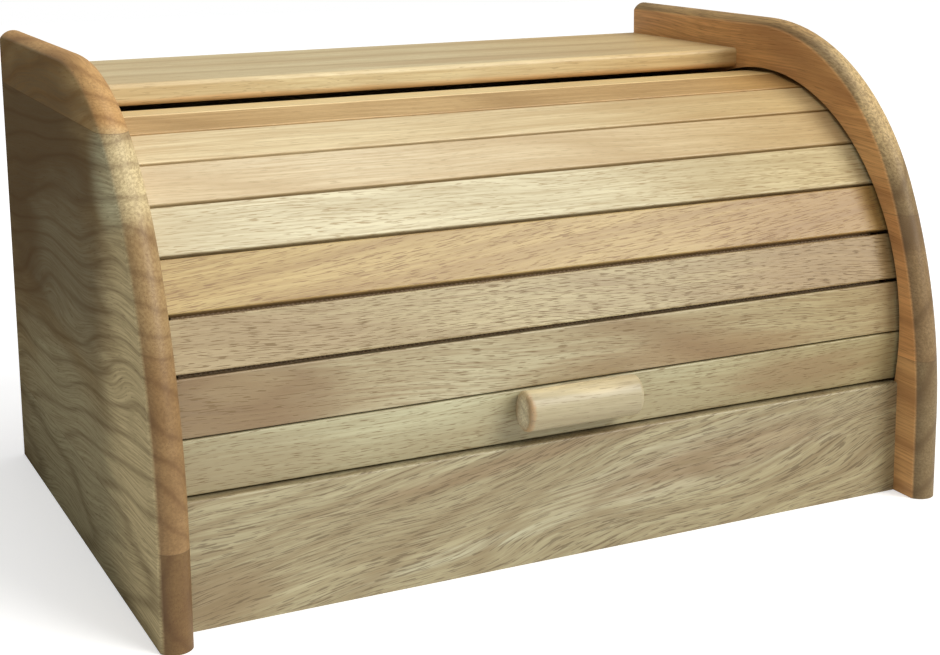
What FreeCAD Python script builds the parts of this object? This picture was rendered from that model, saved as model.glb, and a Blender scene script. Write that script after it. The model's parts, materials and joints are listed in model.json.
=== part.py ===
"""Roll-top bread box: two end panels, a front board, a top shelf, a base and a back,
closed by a tambour shutter of wooden slats that runs in one curved track.

Millimetres. X runs along the slats from left to right, Y from front to back and Z up. The
origin is on the floor under the middle of the box. Each sub-part is drawn from the left face
and the front edge of the end panels, and its Placement moves it to its place about the origin.
"""
import FreeCAD
import Part
import math
import os
import Sketcher

Vector = FreeCAD.Vector
Rotation = FreeCAD.Rotation

# name, value in millimetres or degrees, what it is
DRIVING_SIZES = [
    ("overall_width", 400, "outer face to outer face of the end panels"),
    ("overall_depth", 280, "front to back of the end panels"),
    ("panel_height", 232, "height of the end panels"),
    ("panel_thickness", 14, "end panel board"),
    ("edge_crown", 4.5, "how far the rounded panel edge stands out in its middle"),
    ("front_straight", 42, "upright part of the panel's front edge"),
    ("shoulder_radius", 131.5, "large radius between the panel's front and top"),
    ("shoulder_centre", 145, "distance of that radius's centre behind the front"),
    ("board_lead", 4.1, "front board's face before the lower corner of the closed shutter"),
    ("board_thickness", 12, "front board"),
    ("board_height", 57, "front board"),
    ("board_round", 1.2, "rounding of the front board's upper arris"),
    ("shelf_drop", 18.5, "shelf top below the panels' top"),
    ("shelf_thickness", 10.8, "top shelf"),
    ("shelf_setback", 25, "shelf's front edge behind the crest of the shutter"),
    ("shelf_round_top", 2.5, "upper rounding of the shelf's front edge"),
    ("shelf_round_low", 3, "lower rounding of the shelf's front edge"),
    ("base_height", 8, "underside of the base above the floor"),
    ("base_thickness", 6, "plywood base"),
    ("back_inset", 4, "back panel in front of the end panels' rear edge"),
    ("back_thickness", 6, "plywood back panel"),
    ("back_tongue", 3.5, "how far the back panel reaches into the shelf"),
    ("housing_depth", 4, "depth of the grooves that hold the base and the back"),
    ("track_margin", 20.2, "shutter's outer corners behind the panels' front edge"),
    ("track_gap_back", 6.2, "free space between the shutter and the back panel"),
    ("crest_rise", 0.2, "shutter's crest above the underside of the shelf"),
    ("track_depth", 6.5, "depth of the milled track"),
    ("track_clear_outer", 1.8, "play between the slats and the track's outer wall"),
    ("track_clear_inner", 0.8, "play between the slats and the track's inner wall"),
    ("track_land", 11.5, "solid wood between the track's rear end and the base"),
    ("track_end_play", 0.5, "angle left free at each end of the track"),
    ("slat_count", 10, "slats in the shutter"),
    ("slat_thickness", 6, "slats"),
    ("slat_end_play", 0.7, "slat end to the bottom of the track, each side"),
    ("slat_round", 0.7, "rounding of the slats' outer arrises"),
    ("joint_gap_outer", 0.8, "gap between two slats at their outer faces"),
    ("joint_gap_inner", 0.4, "gap between two slats at the canvas"),
    ("narrow_trim", 1.0, "what the narrowest slat lacks on each side"),
    ("slight_trim", 0.4, "what the four slats above it lack on each side"),
    ("closing_gap", 0.6, "lowest slat above the front board when closed"),
    ("shelf_lap", 16.5, "how far the closed shutter reaches under the shelf"),
    ("canvas_thickness", 0.8, "canvas backing"),
    ("canvas_margin", 5, "canvas edge to the end panel"),
    ("handle_length", 59, "handle bar"),
    ("handle_height", 19, "handle bar across its oval section"),
    ("handle_reach", 15.5, "handle bar's front from the slat's face"),
    ("handle_belly", 8.1, "handle bar's front before its tallest line"),
    ("handle_rise", 5, "handle's middle above the middle of its slat"),
    ("handle_round", 2, "rounding of the handle's end arrises"),
    ("screw_spacing", 36, "between the two handle screws"),
    ("screw_diameter", 3.5, "handle screws"),
    ("screw_length", 15, "handle screws below the head"),
    ("screw_head", 7, "diameter of the round screw head"),
    ("screw_head_top", 4.2, "diameter of the flat on top of the screw head"),
    ("screw_head_rise", 2, "height of the round screw head"),
    ("screw_hole_play", 0.2, "clearance hole larger than the screw"),
    ("pilot_play", 0.5, "pilot hole deeper than the screw's point"),
    ("dowel_diameter", 6, "beech dowels"),
    ("dowel_length", 24, "beech dowels"),
    ("dowel_in_panel", 8, "how far a dowel reaches into the end panel"),
    ("dowel_end_gap", 0.5, "free space behind each dowel end"),
    ("dowel_edge", 20, "outermost shelf dowels from the shelf's long edges"),
    ("board_dowel_top", 13, "upper front board dowel below the board's top"),
    ("board_dowel_low", 12, "lower front board dowel above the base"),
]

# name and formula of what follows from the driving sizes, in the order of use
LAYOUT = [
    ("inner_width", "Sizes.overall_width - 2 * Sizes.panel_thickness"),
    ("middle", "Sizes.overall_width / 2"),
    ("middle_depth", "Sizes.overall_depth / 2"),
    ("shelf_top", "Sizes.panel_height - Sizes.shelf_drop"),
    ("shelf_under", "shelf_top - Sizes.shelf_thickness"),
    ("base_top", "Sizes.base_height + Sizes.base_thickness"),
    ("back_outer", "Sizes.overall_depth - Sizes.back_inset"),
    ("back_inner", "back_outer - Sizes.back_thickness"),
    ("shutter_radius", "(back_inner - Sizes.track_gap_back - Sizes.track_margin) / 2"),
    ("centre_y", "Sizes.track_margin + shutter_radius"),
    ("centre_z", "shelf_under + Sizes.crest_rise - shutter_radius"),
    ("shelf_front", "centre_y + Sizes.shelf_setback"),
    ("front_angle", "asin((Sizes.board_height + Sizes.closing_gap - centre_z) / shutter_radius) / 1deg"),
    ("board_inset", "centre_y - shutter_radius * cos(front_angle * 1deg) - Sizes.board_lead"),
    ("board_inner", "board_inset + Sizes.board_thickness"),
    ("rear_angle", "90 + asin((Sizes.shelf_setback + Sizes.shelf_lap) / shutter_radius) / 1deg"),
    ("pitch_angle", "(rear_angle - front_angle) / Sizes.slat_count"),
    ("face_radius", "shutter_radius * cos(pitch_angle / 2 * 1deg)"),
    ("inner_radius", "face_radius - Sizes.slat_thickness"),
    ("slat_half_outer", "face_radius * tan(pitch_angle / 2 * 1deg) - Sizes.joint_gap_outer / 2"),
    ("slat_half_inner", "inner_radius * tan(pitch_angle / 2 * 1deg) - Sizes.joint_gap_inner / 2"),
    ("slat_length", "inner_width + 2 * (Sizes.track_depth - Sizes.slat_end_play)"),
    ("track_outer", "shutter_radius + Sizes.track_clear_outer"),
    ("track_inner", "inner_radius - Sizes.track_clear_inner"),
    ("track_start", "front_angle - Sizes.track_end_play"),
    ("track_end", "180 + asin((centre_z - base_top - Sizes.track_land) / track_outer) / 1deg"),
    ("dowel_in_board", "Sizes.dowel_length - Sizes.dowel_in_panel"),
    ("crease_height", "Sizes.panel_height - Sizes.edge_crown"),
]

doc = FreeCAD.newDocument("BreadBox")


def fill_sheet():
    """Write every driving size into the spreadsheet, as a plain number with an alias."""
    sheet = doc.addObject("Spreadsheet::Sheet", "Sizes")
    for row, (alias, value, meaning) in enumerate(DRIVING_SIZES, start=1):
        sheet.set(f"A{row}", alias.replace("_", " "))
        sheet.set(f"B{row}", str(value))
        sheet.set(f"C{row}", meaning)
        sheet.setAlias(f"B{row}", alias)
    doc.recompute()
    return sheet


def derive_layout():
    """Hold what follows from the driving sizes as bound properties of one variable set."""
    layout = doc.addObject("App::VarSet", "Layout")
    for name, formula in LAYOUT:
        layout.addProperty("App::PropertyFloat", name, "Layout")
        layout.setExpression(name, formula)
    doc.recompute()
    return layout


sizes = fill_sheet()
layout = derive_layout()


def new_body(label):
    """Start a PartDesign body that carries a sub-part's name."""
    body = doc.addObject("PartDesign::Body", label)
    body.Label = label
    return body


def new_sketch(body, name, role, offset=None):
    """Add a sketch on one of the body's own origin planes, moved along its normal if asked."""
    sketch = body.newObject("Sketcher::SketchObject", f"{body.Name}_{name}")
    plane = next(item for item in body.Origin.OriginFeatures if item.Role == role)
    sketch.AttachmentSupport = [(plane, "")]
    sketch.MapMode = "FlatFace"
    if offset is not None:
        sketch.setExpression("AttachmentOffset.Base.z", offset)
    return sketch


def value_of(formula):
    """Number that a formula in sheet and layout names gives at this moment."""
    return float(layout.evalExpression(formula))


def fix_point(sketch, geometry, end, across, up):
    """Tie one point of a sketch to two formulas, measured from the sketch's origin."""
    for kind, formula in (("DistanceX", across), ("DistanceY", up)):
        start = value_of(formula)
        index = sketch.addConstraint(Sketcher.Constraint(kind, -1, 1, geometry, end, start))
        sketch.setExpression(f"Constraints[{index}]", formula)


def draw_polygon(sketch, corners):
    """Closed outline of straight lines; each corner is a pair of formulas."""
    points = [Vector(value_of(across), value_of(up), 0) for across, up in corners]
    first = sketch.GeometryCount
    count = len(points)
    for index, point in enumerate(points):
        line = Part.LineSegment(point, points[(index + 1) % count])
        sketch.addGeometry(line, False)
    for index in range(count):
        following = first + (index + 1) % count
        joint = Sketcher.Constraint("Coincident", first + index, 2, following, 1)
        sketch.addConstraint(joint)
    for index, (across, up) in enumerate(corners):
        fix_point(sketch, first + index, 1, across, up)


def draw_circles(sketch, centres, diameter):
    """One circle at each centre, all with the same diameter formula."""
    for across, up in centres:
        centre = Vector(value_of(across), value_of(up), 0)
        circle = Part.Circle(centre, Vector(0, 0, 1), value_of(diameter) / 2)
        index = sketch.addGeometry(circle, False)
        fix_point(sketch, index, 3, across, up)
        size = Sketcher.Constraint("Diameter", index, value_of(diameter))
        number = sketch.addConstraint(size)
        sketch.setExpression(f"Constraints[{number}]", diameter)


def add_pad(body, sketch, length, middle=False):
    """Extrude a sketch along its normal, or half to each side of it."""
    pad = body.newObject("PartDesign::Pad", f"{sketch.Name}_pad")
    pad.Profile = sketch
    pad.SideType = "Symmetric" if middle else "One side"
    pad.setExpression("Length", length)
    doc.recompute()
    return pad


def add_pocket(body, sketch, depth, backwards=False, through=False):
    """Cut a sketch into the body, and make sure that the cut removed material."""
    volume_before = body.Shape.Volume
    pocket = body.newObject("PartDesign::Pocket", f"{sketch.Name}_pocket")
    pocket.Profile = sketch
    pocket.Reversed = backwards
    if through:
        pocket.Type = "ThroughAll"
    else:
        pocket.setExpression("Length", depth)
    doc.recompute()
    if body.Shape.Volume > volume_before - 1:
        raise ValueError(f"{pocket.Name} cut nothing")
    return pocket


def edges_where(feature, wanted):
    """Names of the feature's edges for which the given test holds."""
    edges = feature.Shape.Edges
    return [f"Edge{number}" for number, edge in enumerate(edges, start=1) if wanted(edge)]


def runs_along_x(edge, across, up):
    """Whether a straight edge runs parallel to X through the given Y and Z."""
    ends = [vertex.Point for vertex in edge.Vertexes]
    if len(ends) != 2 or abs((ends[1] - ends[0]).normalize().x) < 0.999:
        return False
    return abs(ends[0].y - across) < 0.01 and abs(ends[0].z - up) < 0.01


def round_edges(body, feature, names, radius, name):
    """Fillet the named edges of the body's last feature."""
    fillet = body.newObject("PartDesign::Fillet", f"{body.Name}_{name}")
    fillet.Base = (feature, names)
    fillet.setExpression("Radius", radius)
    doc.recompute()
    return fillet


def place_in_box(piece, left):
    """Move a piece to where its left face belongs, given from the left panel's outer face."""
    piece.setExpression("Placement.Base.x", f"{left} - Layout.middle")
    piece.setExpression("Placement.Base.y", "-Layout.middle_depth")


# ---- end panels -------------------------------------------------------------------------

SHELF_DOWELS_Y = [
    "Layout.shelf_front + Sizes.dowel_edge",
    "(Layout.shelf_front + Sizes.overall_depth) / 2",
    "Sizes.overall_depth - Sizes.dowel_edge",
]
SHELF_DOWEL_Z = "Layout.shelf_under + Sizes.shelf_thickness / 2"
BOARD_DOWEL_Y = "Layout.board_inset + Sizes.board_thickness / 2"
BOARD_DOWELS_Z = [
    "Layout.base_top + Sizes.board_dowel_low",
    "Sizes.board_height - Sizes.board_dowel_top",
]
SHELF_DOWELS = [(across, SHELF_DOWEL_Z) for across in SHELF_DOWELS_Y]
BOARD_DOWELS = [(BOARD_DOWEL_Y, up) for up in BOARD_DOWELS_Z]


def draw_panel_outline(sketch):
    """Panel outline at the crease of its rounded edge: upright front, two arcs, flat top."""
    crown = sizes.edge_crown
    top = layout.crease_height
    radius = sizes.shoulder_radius - crown
    centre = Vector(sizes.shoulder_centre, sizes.panel_height - sizes.shoulder_radius, 0)
    straight = sizes.front_straight
    # the lower arc touches the upright front edge and, from outside, the shoulder arc
    rise = centre.y - straight
    reach = centre.x
    shoulder = sizes.shoulder_radius
    large = (reach ** 2 + rise ** 2 - shoulder ** 2) / (2 * (reach - shoulder))
    large_centre = Vector(large, straight, 0)
    toward = (centre - large_centre).normalize()
    touch = centre + toward * radius
    corners = [Vector(crown, 0, 0), Vector(sizes.overall_depth, 0, 0)]
    corners.append(Vector(sizes.overall_depth, top, 0))
    corners.append(Vector(centre.x, top, 0))
    for start, end in zip(corners, corners[1:]):
        sketch.addGeometry(Part.LineSegment(start, end), False)
    turn = math.atan2(toward.y, toward.x)
    shoulder_circle = Part.Circle(centre, Vector(0, 0, 1), radius)
    sketch.addGeometry(Part.ArcOfCircle(shoulder_circle, math.pi / 2, turn), False)
    front_circle = Part.Circle(large_centre, Vector(0, 0, 1), large - crown)
    sketch.addGeometry(Part.ArcOfCircle(front_circle, turn, math.pi), False)
    front_end = Vector(crown, straight, 0)
    sketch.addGeometry(Part.LineSegment(front_end, corners[0]), False)
    for constraint in (
        ("Coincident", 0, 2, 1, 1),
        ("Coincident", 1, 2, 2, 1),
        ("Tangent", 2, 2, 3, 1),
        ("Tangent", 3, 2, 4, 1),
        ("Tangent", 4, 2, 5, 1),
        ("Coincident", 5, 2, 0, 1),
        ("Horizontal", 0),
        ("Vertical", 1),
        ("Horizontal", 2),
        ("Vertical", 5),
    ):
        sketch.addConstraint(Sketcher.Constraint(*constraint))
    fix_point(sketch, 0, 1, "Sizes.edge_crown", "0")
    fix_point(sketch, 1, 2, "Sizes.overall_depth", "Layout.crease_height")
    for kind, geometry, end, formula in (
        ("DistanceX", 3, 3, "Sizes.shoulder_centre"),
        ("DistanceY", 3, 3, "Sizes.panel_height - Sizes.shoulder_radius"),
        ("DistanceY", 5, 1, "Sizes.front_straight"),
    ):
        size = Sketcher.Constraint(kind, -1, 1, geometry, end, value_of(formula))
        number = sketch.addConstraint(size)
        sketch.setExpression(f"Constraints[{number}]", formula)


def draw_crown(sketch):
    """Cross-section of the rounded edge: a flat arc standing on the panel's thickness."""
    wide = sizes.panel_thickness
    crown = sizes.edge_crown
    radius = (wide ** 2 / 4 + crown ** 2) / (2 * crown)
    centre = Vector(wide / 2, radius, 0)
    lean = math.atan2(crown - radius, wide / 2)
    circle = Part.Circle(centre, Vector(0, 0, 1), radius)
    sketch.addGeometry(Part.ArcOfCircle(circle, -math.pi - lean, lean), False)
    chord = Part.LineSegment(Vector(wide, crown, 0), Vector(0, crown, 0))
    sketch.addGeometry(chord, False)
    sketch.addConstraint(Sketcher.Constraint("Coincident", 0, 2, 1, 1))
    sketch.addConstraint(Sketcher.Constraint("Coincident", 0, 1, 1, 2))
    fix_point(sketch, 1, 1, "Sizes.panel_thickness", "Sizes.edge_crown")
    fix_point(sketch, 1, 2, "0", "Sizes.edge_crown")
    formula = "(Sizes.panel_thickness ^ 2 / 4 + Sizes.edge_crown ^ 2) / (2 * Sizes.edge_crown)"
    number = sketch.addConstraint(Sketcher.Constraint("Radius", 0, radius))
    sketch.setExpression(f"Constraints[{number}]", formula)


def draw_track(sketch):
    """The shutter's track: a slot between two arcs about the shutter's axis."""
    centre = Vector(layout.centre_y, layout.centre_z, 0)
    # angles here turn from straight back over the top, so the shutter's angles are mirrored
    start = math.radians(180 - layout.track_end)
    end = math.radians(180 - layout.track_start)
    radii = ["Layout.track_outer", "Layout.track_inner"]
    for formula in radii:
        circle = Part.Circle(centre, Vector(0, 0, 1), value_of(formula))
        sketch.addGeometry(Part.ArcOfCircle(circle, start, end), False)
    outer, inner = sketch.Geometry
    front_end = Part.LineSegment(outer.EndPoint, inner.EndPoint)
    rear_end = Part.LineSegment(inner.StartPoint, outer.StartPoint)
    sketch.addGeometry(front_end, False)
    sketch.addGeometry(rear_end, False)
    sketch.addConstraint(Sketcher.Constraint("Coincident", 0, 2, 2, 1))
    sketch.addConstraint(Sketcher.Constraint("Coincident", 1, 2, 2, 2))
    sketch.addConstraint(Sketcher.Constraint("Coincident", 1, 1, 3, 1))
    sketch.addConstraint(Sketcher.Constraint("Coincident", 0, 1, 3, 2))
    sketch.addConstraint(Sketcher.Constraint("Coincident", 0, 3, 1, 3))
    fix_point(sketch, 0, 3, "Layout.centre_y", "Layout.centre_z")
    for geometry, formula in enumerate(radii):
        number = sketch.addConstraint(Sketcher.Constraint("Radius", geometry, value_of(formula)))
        sketch.setExpression(f"Constraints[{number}]", formula)
    for point, angle in ((2, "180 - Layout.track_start"), (1, "180 - Layout.track_end")):
        for geometry, formula in enumerate(radii):
            across = f"Layout.centre_y + {formula} * cos(({angle}) * 1deg)"
            number = sketch.addConstraint(
                Sketcher.Constraint("DistanceX", -1, 1, geometry, point, value_of(across))
            )
            sketch.setExpression(f"Constraints[{number}]", across)


def rounded_edges(outline):
    """The outline's edges that carry the crown, in order from the front's foot to the back."""
    heights = {}
    for number, edge in enumerate(outline.Shape.Edges, start=1):
        middle = edge.valueAt((edge.FirstParameter + edge.LastParameter) / 2)
        if middle.z > 0.01 and middle.y < sizes.overall_depth - 0.01:
            heights[f"Edge{number}"] = middle.z
    return sorted(heights, key=heights.get)


def make_end_panel(label, left_place, inner_face, cut_backwards):
    """One end panel; inner_face is where its housings start, from the panel's left face."""
    body = new_body(label)
    outline = new_sketch(body, "outline", "YZ_Plane")
    draw_panel_outline(outline)
    doc.recompute()
    add_pad(body, outline, "Sizes.panel_thickness")
    crown_section = new_sketch(body, "crown_section", "XY_Plane")
    draw_crown(crown_section)
    doc.recompute()
    crown = body.newObject("PartDesign::AdditivePipe", f"{label}_crown")
    crown.Profile = crown_section
    crown.Spine = (outline, rounded_edges(outline))
    doc.recompute()
    track = new_sketch(body, "track", "YZ_Plane", inner_face)
    draw_track(track)
    doc.recompute()
    add_pocket(body, track, "Sizes.track_depth", cut_backwards)
    housing = new_sketch(body, "housing", "YZ_Plane", inner_face)
    base_front = "Layout.board_inner - Sizes.housing_depth"
    back_top = "Layout.shelf_under + Sizes.back_tongue"
    draw_polygon(housing, [
        (base_front, "Sizes.base_height"),
        ("Layout.back_outer", "Sizes.base_height"),
        ("Layout.back_outer", back_top),
        ("Layout.back_inner", back_top),
        ("Layout.back_inner", "Layout.base_top"),
        (base_front, "Layout.base_top"),
    ])
    doc.recompute()
    add_pocket(body, housing, "Sizes.housing_depth", cut_backwards)
    holes = new_sketch(body, "dowel_holes", "YZ_Plane", inner_face)
    draw_circles(holes, SHELF_DOWELS + BOARD_DOWELS, "Sizes.dowel_diameter")
    doc.recompute()
    hole_depth = "Sizes.dowel_in_panel + Sizes.dowel_end_gap"
    add_pocket(body, holes, hole_depth, cut_backwards)
    place_in_box(body, left_place)
    return body


# ---- front board, shelf, base and back --------------------------------------------------


def drill_board_ends(body, centres):
    """Dowel holes in both ends of a board that starts at its own left face."""
    depth = "Layout.dowel_in_board + Sizes.dowel_end_gap"
    for name, offset, backwards in (("left", "0", True), ("right", "Layout.inner_width", False)):
        holes = new_sketch(body, f"{name}_holes", "YZ_Plane", offset)
        draw_circles(holes, centres, "Sizes.dowel_diameter")
        doc.recompute()
        add_pocket(body, holes, depth, backwards)


def make_front_board():
    body = new_body("front_board")
    profile = new_sketch(body, "profile", "YZ_Plane")
    notch = "Layout.board_inner - Sizes.housing_depth"
    draw_polygon(profile, [
        ("Layout.board_inset", "0"),
        ("Layout.board_inner", "0"),
        ("Layout.board_inner", "Sizes.base_height"),
        (notch, "Sizes.base_height"),
        (notch, "Layout.base_top"),
        ("Layout.board_inner", "Layout.base_top"),
        ("Layout.board_inner", "Sizes.board_height"),
        ("Layout.board_inset", "Sizes.board_height"),
    ])
    doc.recompute()
    pad = add_pad(body, profile, "Layout.inner_width")
    arrises = edges_where(pad, lambda edge: runs_along_x(
        edge, layout.board_inset, sizes.board_height))
    round_edges(body, pad, arrises, "Sizes.board_round", "arris")
    drill_board_ends(body, BOARD_DOWELS)
    place_in_box(body, "Sizes.panel_thickness")
    return body


def make_shelf():
    body = new_body("shelf_board")
    profile = new_sketch(body, "profile", "YZ_Plane")
    notch_top = "Layout.shelf_under + Sizes.back_tongue"
    draw_polygon(profile, [
        ("Layout.shelf_front", "Layout.shelf_under"),
        ("Layout.back_inner", "Layout.shelf_under"),
        ("Layout.back_inner", notch_top),
        ("Layout.back_outer", notch_top),
        ("Layout.back_outer", "Layout.shelf_under"),
        ("Sizes.overall_depth", "Layout.shelf_under"),
        ("Sizes.overall_depth", "Layout.shelf_top"),
        ("Layout.shelf_front", "Layout.shelf_top"),
    ])
    doc.recompute()
    feature = add_pad(body, profile, "Layout.inner_width")
    for name, up, radius in (
        ("upper_arris", layout.shelf_top, "Sizes.shelf_round_top"),
        ("lower_arris", layout.shelf_under, "Sizes.shelf_round_low"),
    ):
        arris = edges_where(feature, lambda edge: runs_along_x(edge, layout.shelf_front, up))
        feature = round_edges(body, feature, arris, radius, name)
    drill_board_ends(body, SHELF_DOWELS)
    place_in_box(body, "Sizes.panel_thickness")
    return body


def make_housed_panel(label, corners):
    """A plywood panel that reaches into the housings of both end panels."""
    body = new_body(label)
    profile = new_sketch(body, "profile", "YZ_Plane")
    draw_polygon(profile, corners)
    doc.recompute()
    add_pad(body, profile, "Layout.inner_width + 2 * Sizes.housing_depth")
    place_in_box(body, "Sizes.panel_thickness - Sizes.housing_depth")
    return body


def make_base_and_back():
    base_front = "Layout.board_inner - Sizes.housing_depth"
    base = make_housed_panel("base_board", [
        (base_front, "Sizes.base_height"),
        ("Layout.back_outer", "Sizes.base_height"),
        ("Layout.back_outer", "Layout.base_top"),
        (base_front, "Layout.base_top"),
    ])
    back_top = "Layout.shelf_under + Sizes.back_tongue"
    back = make_housed_panel("back_panel", [
        ("Layout.back_inner", "Layout.base_top"),
        ("Layout.back_outer", "Layout.base_top"),
        ("Layout.back_outer", back_top),
        ("Layout.back_inner", back_top),
    ])
    return [base, back]


def make_dowels(label, centres):
    """Dowels across both joints of one board, as separate solids under one name."""
    dowels = []
    left = "Sizes.panel_thickness - Sizes.dowel_in_panel"
    right = "Sizes.overall_width - Sizes.panel_thickness - Layout.dowel_in_board"
    for number, (across, up) in enumerate(centres, start=1):
        for side, start in (("left", left), ("right", right)):
            dowel = doc.addObject("Part::Cylinder", f"{label}_{side}_{number}")
            dowel.setExpression("Radius", "Sizes.dowel_diameter / 2")
            dowel.setExpression("Height", "Sizes.dowel_length")
            dowel.Placement = FreeCAD.Placement(Vector(), Rotation(Vector(0, 1, 0), 90))
            dowel.setExpression("Placement.Base.x", start)
            dowel.setExpression("Placement.Base.y", across)
            dowel.setExpression("Placement.Base.z", up)
            dowels.append(dowel)
    group = doc.addObject("Part::Compound", label)
    group.Label = label
    group.Links = dowels
    place_in_box(group, "0")
    return group


# ---- shutter ----------------------------------------------------------------------------
# Each piece of the shutter is drawn about the track's centre, lying straight in front of it,
# and is then turned up to its own angle.


def place_on_track(piece, angle):
    """Put a piece at the track's centre, turned up by the angle that a formula gives."""
    piece.Placement = FreeCAD.Placement(Vector(), Rotation(Vector(-1, 0, 0), 1))
    piece.setExpression("Placement.Base.y", "Layout.centre_y - Layout.middle_depth")
    piece.setExpression("Placement.Base.z", "Layout.centre_z")
    piece.setExpression("Placement.Rotation.Angle", angle)


def slat_angle(number):
    """Formula of the angle at which the middle of a slat stands; slat 1 is the lowest."""
    return f"Layout.front_angle + ({number} - 0.5) * Layout.pitch_angle"


NARROW_SLATS = {3: "Sizes.narrow_trim", **dict.fromkeys(range(4, 8), "Sizes.slight_trim")}
HANDLE_SLAT = 1
SCREW_PLACES = [
    (f"{side} * Sizes.screw_spacing / 2", "Sizes.handle_rise")
    for side in (-1, 1)
]


def make_slat(number):
    """One slat: flat faces, sides that close up towards the canvas, full-thickness ends."""
    body = new_body(f"slat_{number:02d}")
    profile = new_sketch(body, "profile", "YZ_Plane")
    trim = NARROW_SLATS.get(number, "0")
    outer = f"(Layout.slat_half_outer - {trim})"
    inner = f"(Layout.slat_half_inner - {trim})"
    draw_polygon(profile, [
        ("-Layout.face_radius", f"-{outer}"),
        ("-Layout.inner_radius", f"-{inner}"),
        ("-Layout.inner_radius", inner),
        ("-Layout.face_radius", outer),
    ])
    doc.recompute()
    pad = add_pad(body, profile, "Layout.slat_length", middle=True)
    half_outer = value_of(outer)
    arrises = edges_where(pad, lambda edge: any(
        runs_along_x(edge, -layout.face_radius, side * half_outer) for side in (-1, 1)))
    round_edges(body, pad, arrises, "Sizes.slat_round", "arrises")
    if number == HANDLE_SLAT:
        holes = new_sketch(body, "screw_holes", "XZ_Plane")
        diameter = "Sizes.screw_diameter + Sizes.screw_hole_play"
        draw_circles(holes, SCREW_PLACES, diameter)
        doc.recompute()
        add_pocket(body, holes, "0", backwards=True, through=True)
    place_on_track(body, slat_angle(number))
    return body


def make_canvas():
    """Canvas backing: one strip that follows the inner faces of all the slats."""
    count = round(sizes.slat_count)
    thickness = sizes.canvas_thickness
    half_pitch = layout.pitch_angle / 2
    outer_points = []
    inner_points = []
    for number in range(1, count + 1):
        middle = layout.front_angle + (2 * number - 1) * half_pitch
        half = layout.slat_half_inner
        for side in (-1, 1):
            for points, radius in (
                (outer_points, layout.inner_radius),
                (inner_points, layout.inner_radius - thickness),
            ):
                lying = Vector(0, -radius, side * half)
                turned = Rotation(Vector(-1, 0, 0), middle).multVec(lying)
                points.append(turned)
    outline = outer_points + inner_points[::-1]
    strip = Part.Face(Part.makePolygon(outline + outline[:1]))
    wide = layout.inner_width - 2 * sizes.canvas_margin
    strip.translate(Vector(-wide / 2, 0, 0))
    shape = strip.extrude(Vector(wide, 0, 0))
    hole_radius = (sizes.screw_diameter + sizes.screw_hole_play) / 2
    turn = Rotation(Vector(-1, 0, 0), value_of(slat_angle(HANDLE_SLAT)))
    depth = 4 * thickness  # right through the strip
    for across, up in SCREW_PLACES:
        lying = Vector(value_of(across), -layout.inner_radius - thickness, value_of(up))
        hole = Part.makeCylinder(
            hole_radius, depth, turn.multVec(lying), turn.multVec(Vector(0, 1, 0)))
        shape = shape.cut(hole)
    canvas = doc.addObject("Part::Feature", "canvas_backing")
    canvas.Label = "canvas_backing"
    canvas.Shape = shape
    centre = Vector(0, layout.centre_y - layout.middle_depth, layout.centre_z)
    canvas.Placement = FreeCAD.Placement(centre, Rotation())
    return canvas


def make_handle():
    """Oval bar with rounded ends and a flat seat on the lowest slat."""
    body = new_body("handle")
    section = new_sketch(body, "section", "YZ_Plane")
    across = "-Layout.face_radius - Sizes.handle_reach + Sizes.handle_belly"
    centre = Vector(value_of(across), sizes.handle_rise, 0)
    upper_end = centre + Vector(0, sizes.handle_height / 2, 0)
    front_end = centre - Vector(sizes.handle_belly, 0, 0)
    section.addGeometry(Part.Ellipse(upper_end, front_end, centre), False)
    section.exposeInternalGeometry(0)
    # geometry 1 and 2 are now the oval's long and short axes
    section.addConstraint(Sketcher.Constraint("Vertical", 1))
    for axis, formula in ((1, "Sizes.handle_height"), (2, "2 * Sizes.handle_belly")):
        size = Sketcher.Constraint("Distance", axis, value_of(formula))
        number = section.addConstraint(size)
        section.setExpression(f"Constraints[{number}]", formula)
    fix_point(section, 0, 3, across, "Sizes.handle_rise")
    doc.recompute()
    pad = add_pad(body, section, "Sizes.handle_length", middle=True)
    half_length = sizes.handle_length / 2

    def on_end_arris(edge):
        middle = edge.valueAt((edge.FirstParameter + edge.LastParameter) / 2)
        return edge.isClosed() and abs(abs(middle.x) - half_length) < 0.01

    round_edges(body, pad, edges_where(pad, on_end_arris), "Sizes.handle_round", "ends")
    seat = new_sketch(body, "seat", "YZ_Plane")
    draw_polygon(seat, [
        ("-Layout.face_radius", "Sizes.handle_rise - Sizes.handle_height"),
        ("-Layout.inner_radius", "Sizes.handle_rise - Sizes.handle_height"),
        ("-Layout.inner_radius", "Sizes.handle_rise + Sizes.handle_height"),
        ("-Layout.face_radius", "Sizes.handle_rise + Sizes.handle_height"),
    ])
    doc.recompute()
    seat_cut = body.newObject("PartDesign::Pocket", "handle_seat_pocket")
    seat_cut.Profile = seat
    seat_cut.SideType = "Symmetric"
    seat_cut.setExpression("Length", "2 * Sizes.handle_length")
    doc.recompute()
    holes = new_sketch(body, "pilot_holes", "XZ_Plane", "Layout.face_radius")
    draw_circles(holes, SCREW_PLACES, "Sizes.screw_diameter")
    doc.recompute()
    pilot = "Sizes.screw_length - Sizes.slat_thickness - Sizes.canvas_thickness"
    add_pocket(body, holes, f"{pilot} + Sizes.pilot_play", backwards=True)
    place_on_track(body, slat_angle(HANDLE_SLAT))
    return body


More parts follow.
